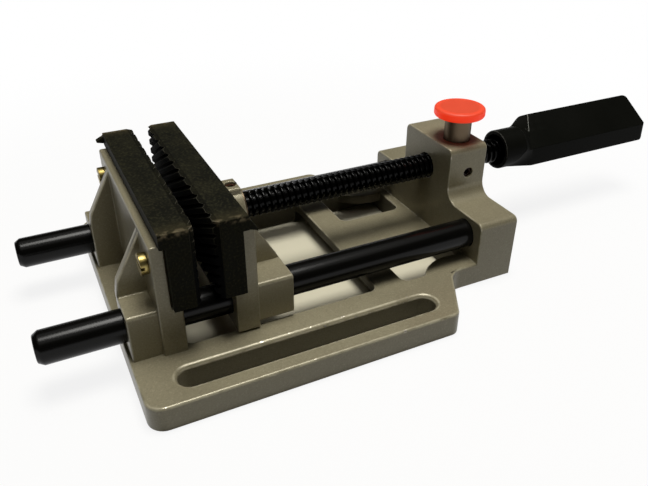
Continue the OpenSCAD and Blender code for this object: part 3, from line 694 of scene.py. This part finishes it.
def threaded_bar():
    work = bmesh.new()
    turns = math.ceil((THREAD_END - THREAD_START) / PITCH) + 3
    rows = []
    for k in range(turns * TURN_STEPS + 1):
        angle = math.tau * k / TURN_STEPS
        base_y = THREAD_START - 2 * PITCH + PITCH * k / TURN_STEPS
        rows.append([work.verts.new(spun(r, angle, base_y + s * PITCH)) for s, r in TOOTH])
    for k in range(len(rows) - 1):
        here, there = rows[k], rows[k + 1]
        if k + TURN_STEPS + 1 < len(rows):
            here = here + [rows[k + TURN_STEPS][0]]
            there = there + [rows[k + TURN_STEPS + 1][0]]
        for j in range(len(here) - 1):
            work.faces.new((here[j], here[j + 1], there[j + 1], there[j]))
    for y, away in ((THREAD_START, -1), (THREAD_END, 1)):
        bmesh.ops.bisect_plane(
            work, geom=work.verts[:] + work.edges[:] + work.faces[:], dist=1e-7,
            plane_co=(0, y * MM, 0), plane_no=(0, away, 0), clear_outer=True,
        )
    return work


def add_end(work, y_cut, rings):
    """Joins the cut end of the thread to rings given as (radius, y), and closes the last."""
    rim = [e for e in work.edges if e.is_boundary and
           all(abs(v.co.y - y_cut * MM) < 1e-6 for v in e.verts)]
    steps = TURN_STEPS
    last = None
    for radius, y in rings:
        ring = [work.verts.new(tang_flat(spun(radius, math.tau * i / steps, y), y))
                for i in range(steps)]
        if last:
            for i in range(steps):
                work.faces.new((last[i], last[i - 1], ring[i - 1], ring[i]))
        else:
            first = [work.edges.new((ring[i - 1], ring[i])) for i in range(steps)]
            bmesh.ops.bridge_loops(work, edges=rim + first)
        last = ring
    work.faces.new(last)


# %% Plain ends of the screw
END_R, GROOVE_R, TIP_R = 4.5, 3.3, 3.5
GROOVE_START, GROOVE_END, TIP_Y = -30.2, -32.8, -41.7
RUNOUT_Y = 113.2
MOUTH_Y, TANG_END, TANG_HALF = 124.8, 154.8, 2.2
TILT = Matrix.Rotation(math.radians(32.6), 3, "Y")
AXIS = Vector((0, 0, SCREW_Z)) * MM


def tang_flat(point, y):
    """Past the mouth of the handle's bore, presses a point onto the two flats of the tang."""
    if y <= MOUTH_Y:
        return point
    local = TILT.inverted() @ (point - AXIS)
    local.z = min(max(local.z, -TANG_HALF * MM), TANG_HALF * MM)
    return TILT @ local + AXIS


screw = threaded_bar()
add_end(screw, THREAD_START, (
    (END_R, THREAD_START), (END_R, GROOVE_START), (GROOVE_R, GROOVE_START),
    (GROOVE_R, GROOVE_END), (END_R, GROOVE_END), (END_R, TIP_Y + 1), (TIP_R, TIP_Y),
))
add_end(screw, THREAD_END, (
    (END_R, RUNOUT_Y), (END_R, MOUTH_Y), (END_R, MOUTH_Y + 0.05), (END_R, TANG_END),
))
bmesh.ops.recalc_face_normals(screw, faces=screw.faces)
print("turns of thread:", round((THREAD_END - THREAD_START) / PITCH, 1))
piece("threaded_screw", screw, "screw", oiled_steel, "lead_screw", crisp=math.radians(50))

# %% [markdown]
# ## The handle
# The handle is one moulding: a hollow round neck that flares into a flat, tilted paddle with
# slanted sides. The CAD solid has this form in flat facets. Here it is drawn again as a loft:
# the outline of the paddle, point by point, has a partner on the round neck at the same angle,
# and each row of the flare lies some way between the two. The rows of the flare end on the
# slanted line where the flat face begins, so the crease there is as clean as on the moulding.

# %% Outline of the paddle
NECK_Y, NECK_R, BORE_R = 112.8, 10.0, 8.0
HALF, FACE, SLANT, SHIFT = 14.0, 3.8, 6.0, Vector((-1.5, 0))
EDGE_R = 0.6


def paddle_outline():
    """Points round the paddle's section as (along its width, across it), in mm."""
    corners = [Vector(c) + SHIFT for c in (
        (-HALF, FACE), (HALF - SLANT, FACE), (HALF, -FACE), (SLANT - HALF, -FACE),
    )]
    arcs = []
    for i, corner in enumerate(corners):
        back = (corners[i - 1] - corner).normalized()
        ahead = (corners[(i + 1) % 4] - corner).normalized()
        reach = EDGE_R / math.tan(back.angle(ahead) / 2)
        start, stop = corner + back * reach, corner + ahead * reach
        arcs.append([start.lerp(corner, t / 4).lerp(corner.lerp(stop, t / 4), t / 4)
                     for t in range(5)])
    points = []
    for i, arc in enumerate(arcs):
        last = arcs[(i + 1) % 4][0]
        count = math.ceil((last - arc[-1]).length)
        points += arc + [arc[-1].lerp(last, k / count) for k in range(1, count)]
    return points


print("points round the paddle:", len(paddle_outline()))

# %% Rows of the handle
FLARE_STEPS = 22
FLARE_Y, LOWER_EARLIER = 125.8, 10
FACE_Y, FACE_LINE_Y, FACE_SLOPE = 131.8, 133.5, 0.514
GRIP_Y, GRIP_END, CORNER_R = 150, 213.3, 3.0
END_STEPS = 8


def ease(value, low, high):
    t = min(max((value - low) / (high - low), 0), 1)
    return t * t * (3 - 2 * t)


def flare_point(flat, t):
    """A point of the flare, t of the way from the neck to the paddle's own outline."""
    neck = flat.normalized() * NECK_R
    start = FLARE_Y - LOWER_EARLIER * ease(flat.x, 4, 12.5)
    end = max(FACE_Y, FACE_LINE_Y - FACE_SLOPE * flat.x)
    y = start + (end - start) * t
    lower = ease(flat.x, -5, 3)
    wide = 1 if t == 1 else lower * t + (1 - lower) * ease(y, 125, 137)
    return Vector((neck.x + (flat.x - neck.x) * wide, y, neck.y + (flat.y - neck.y) * t))


def end_point(flat, turn):
    """A point of the paddle's rounded end, as turn goes from 0 to a right angle."""
    y = GRIP_END - CORNER_R + CORNER_R * math.sin(turn)
    narrow = CORNER_R * (1 - math.cos(turn)) / HALF
    over = max(y - GRIP_END + EDGE_R, 0)
    thin = (EDGE_R - math.sqrt(EDGE_R ** 2 - over ** 2)) / FACE
    return Vector(((flat.x - SHIFT.x) * (1 - narrow) + SHIFT.x, y, flat.y * (1 - thin)))


def handle_rows():
    outline = paddle_outline()
    rows = []
    for radius, y in ((BORE_R, MOUTH_Y), (BORE_R, NECK_Y + 0.4), (BORE_R + 0.3, NECK_Y),
                      (NECK_R - 0.5, NECK_Y), (NECK_R - 0.13, NECK_Y + 0.15),
                      (NECK_R, NECK_Y + 0.6)):
        rows.append([Vector((p.x, 0, p.y)).normalized() * radius + Vector((0, y, 0))
                     for p in outline])
    rows += [[flare_point(p, k / FLARE_STEPS) for p in outline] for k in range(FLARE_STEPS + 1)]
    rows.append([p + Vector((0, 0.5, 0)) for p in rows[-1]])
    rows.append([Vector((p.x, GRIP_Y, p.y)) for p in outline])
    for k in range(END_STEPS + 1):
        rows.append([end_point(p, math.pi / 2 * k / END_STEPS) for p in outline])
    return rows


# %% Handle
CREASE = ((Vector((141, -14.6)), Vector((135.6, -4.1))),
          (Vector((135.6, -4.1)), Vector((134.0, -6.2))))


def painted_crease_highlight(spot):
    """1 on the upper side of the crease beside the neck, where a highlight is painted, fading
    to 0 half a millimetre from it.
    """
    here = Vector((spot.y, spot.x))
    near = 9.0
    for a, b in CREASE:
        t = min(max((here - a).dot(b - a) / (b - a).length_squared, 0), 1)
        near = min(near, (here - a.lerp(b, t)).length)
    return max(0, 1 - near / 0.5) if spot.z > 0 else 0


def lofted_handle():
    work = bmesh.new()
    rub = work.verts.layers.float.new("rub")
    rows = []
    for k, row in enumerate(handle_rows()):
        made = []
        for spot in row:
            point = work.verts.new(TILT @ (spot * MM) + AXIS)
            # the mouth's rim row: a painted highlight on its upper part (0.8), only scuffs
            # below (0.3)
            point[rub] = (0.8 if spot.z > 4 else 0.3) if k == 4 else painted_crease_highlight(spot)
            made.append(point)
        rows.append(made)
    for here, there in zip(rows, rows[1:]):
        for i in range(len(here)):
            work.faces.new((here[i - 1], here[i], there[i], there[i - 1]))
    work.faces.new(rows[0])
    work.faces.new(rows[-1])
    bmesh.ops.recalc_face_normals(work, faces=work.faces)
    return work


piece("moulded_handle", lofted_handle(), "screw", black_plastic, "handle")

# %% [markdown]
# ## The return spring
# A spring under the plunger pushes it up again. The CAD spring has flat sides, so it is made
# anew as a round wire on a helix. Pressing the button shortens it by 8 mm.

# %% Spring
def return_spring():
    low, high = (Vector(c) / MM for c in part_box("plunger_spring"))
    wire = 0.6
    coil = (high.x - low.x) / 2 - wire
    centre = (low + high) / 2
    turns, steps, sides = 6, 36, 10
    work = bmesh.new()
    rings = []
    for k in range(turns * steps + 1):
        angle = math.tau * k / steps
        rise = low.z + wire + (high.z - low.z - 2 * wire) * k / (turns * steps)
        out = Vector((math.cos(angle), math.sin(angle), 0))
        hub = Vector((centre.x, centre.y, rise)) + out * coil
        around = [math.tau * i / sides for i in range(sides)]
        rings.append([work.verts.new(
            (hub + wire * (out * math.cos(a) + Vector((0, 0, math.sin(a))))) * MM
        ) for a in around])
    for here, there in zip(rings, rings[1:]):
        for i in range(sides):
            work.faces.new((here[i - 1], here[i], there[i], there[i - 1]))
    work.faces.new(rings[0])
    work.faces.new(rings[-1])
    bmesh.ops.recalc_face_normals(work, faces=work.faces)
    return work, low.z, high.z


coils, foot, top = return_spring()
spring = piece("return_spring", coils, "base", bright_steel, "plunger_spring")
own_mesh(spring)
print("spring stands from", round(foot, 2), "to", round(top, 2), "mm")

# %% [markdown]
# ## Light
# The shadows of the two guide rods lie almost straight under them, so the main light of the
# photograph came from above. One soft area lamp over the vise does that, a wider and weaker
# one opens up its shadows a little, and the world adds next to nothing.

# %% Lamps
LIT_POINT = Vector((0, 0.02, 0.03))


def lamp(name, direction, distance, size, watts, colour):
    data = bpy.data.lights.new(name, "AREA")
    data.shape = "DISK"
    data.size = size
    data.energy = watts
    data.color = colour
    made = bpy.data.objects.new(name, data)
    towards = Vector(direction).normalized()
    made.location = LIT_POINT + towards * distance
    made.rotation_euler = towards.to_track_quat("Z", "Y").to_euler()
    bpy.context.scene.collection.objects.link(made)
    print(name, "lamp:", watts, "W, a disk of", size, "m")


lamp("key", (0.05, 0.06, 1), 1.2, 0.55, 12, (1, 0.985, 0.94))
lamp("broad", (0, 0, 1), 1.0, 1.5, 3.0, (1, 0.985, 0.95))

# %% [markdown]
# ## The world
# A Light Path node tells what kind of ray asks for a colour, so the background can be white for
# the camera and still send next to no light onto the vise. In a shine the sky is white only
# near the horizon, so that upright faces mirror white and tops mirror a dark room.

# %% World
ROOM = (0.012, 0.012, 0.011, 1)
WHITE = (1, 1, 1, 1)


def seen_rays(f):
    """Two switches: light that the camera meets directly, and in a shine or through glass."""
    kinds = ("Is Camera Ray", "Is Glossy Ray", "Is Transmission Ray")
    camera, shine, through = (f.node("ShaderNodeLightPath", out=kind) for kind in kinds)
    return camera, shine + through


def make_world():
    world = bpy.data.worlds.new("dim_room")
    world.use_nodes = True
    bpy.context.scene.world = world
    f = Finish("dim_room", world.node_tree)
    way = f.node("ShaderNodeTexCoord", out="Generated")
    rise = f.node("ShaderNodeSeparateXYZ", None, {0: way}, out="Z")
    camera, mirrored = seen_rays(f)
    share = camera + mirrored * (1 - f.step(rise, 0.02, 0.2))
    colour = f.blend(share, ROOM, WHITE)
    glow = f.node("ShaderNodeBackground", None, {"Color": colour, "Strength": 1})
    f.node("ShaderNodeOutputWorld", None, {"Surface": glow})
    print(f.name, "is made of", len(f.tree.nodes), "shader nodes")


make_world()

# %% [markdown]
# ## The paper
# The paper is white round the vise, for the camera and in everything that mirrors it, and takes
# only a faint shadow. Under the open frame it gets no such help: there it is cream paper in the
# light of the lamps, its cream tone standing in partly for warm light bounced off the paint,
# and dark where the casting shades it. The light that bounces off the paper onto dull faces is
# held back, since in the photograph the recesses are almost black. A shine meets paper painted
# dark, a painted contact shadow, under the casting and in a thin line round the flanges, which
# gives the vise a dark foot.

# %% Rectangles on the paper
def within(f, value, low, high, soft):
    above = f.step(value, low - soft, low + soft)
    return above * (1 - f.step(value, high - soft, high + soft))


def under(f, low_x, high_x, low_y, high_y, soft=0.5):
    """1 on a rectangle of the floor, in mm, with borders that fade over twice the softness."""
    across = within(f, f.along("X"), low_x, high_x, soft)
    return across * within(f, f.along("Y"), low_y, high_y, soft)


# %% Paper
PAPER_REACH, PAPER_DROP = 4, 0.0002
OPEN_PAPER, SHADED_PAPER, DARK_PAPER = (
    (0.9, 0.89, 0.87, 1), (0.7, 0.66, 0.51, 1), (0.06, 0.058, 0.05, 1),
)


def make_paper():
    material, f = new_finish("white_paper")
    camera, mirrored = seen_rays(f)
    far = f.node("ShaderNodeVectorMath", {"operation": "LENGTH"}, {0: f.place()}, out="Value")
    shaded = f.math("MAXIMUM", under(f, -71, 71, -86, 38), under(f, -47, 45, -86, 86))
    # painted contact shadow: in a shine the paper is dark under the casting and in a thin band
    # round the flanges
    foot = f.math("MAXIMUM", under(f, -76.5, 76.5, -88.5, 40.5, soft=2.0), shaded)
    seen = camera + mirrored * (1 - 0.85 * foot)
    # under the frame the paper is cream, a tone that stands in partly for warm light bounced
    # off the paint
    paper = f.blend(shaded, OPEN_PAPER, SHADED_PAPER)
    colour = f.blend(seen, DARK_PAPER, paper)
    matt = f.node("ShaderNodeBsdfDiffuse", None, {"Color": colour})
    white = f.node("ShaderNodeEmission", None, {"Color": WHITE, "Strength": 1})
    share = seen * (1 - shaded) * (0.86 + 0.14 * f.step(far, 0.12, 0.4))
    mixed = f.node("ShaderNodeMixShader", None, {0: share, 1: matt, 2: white})
    f.node("ShaderNodeOutputMaterial", None, {"Surface": mixed})
    return material


def lay_floor(paper):
    mesh = bpy.data.meshes.new("paper_floor")
    signs = ((-1, -1), (1, -1), (1, 1), (-1, 1))
    corners = [(PAPER_REACH * x, PAPER_REACH * y, 0) for x, y in signs]
    mesh.from_pydata(corners, [], [(0, 1, 2, 3)])
    mesh.materials.append(paper)
    floor = bpy.data.objects.new("paper_floor", mesh)
    bpy.context.scene.collection.objects.link(floor)
    floor.location.z = -PAPER_DROP
    print("paper reaches", PAPER_REACH, "m each way")


lay_floor(make_paper())
bpy.context.scene.view_settings.view_transform = "Standard"
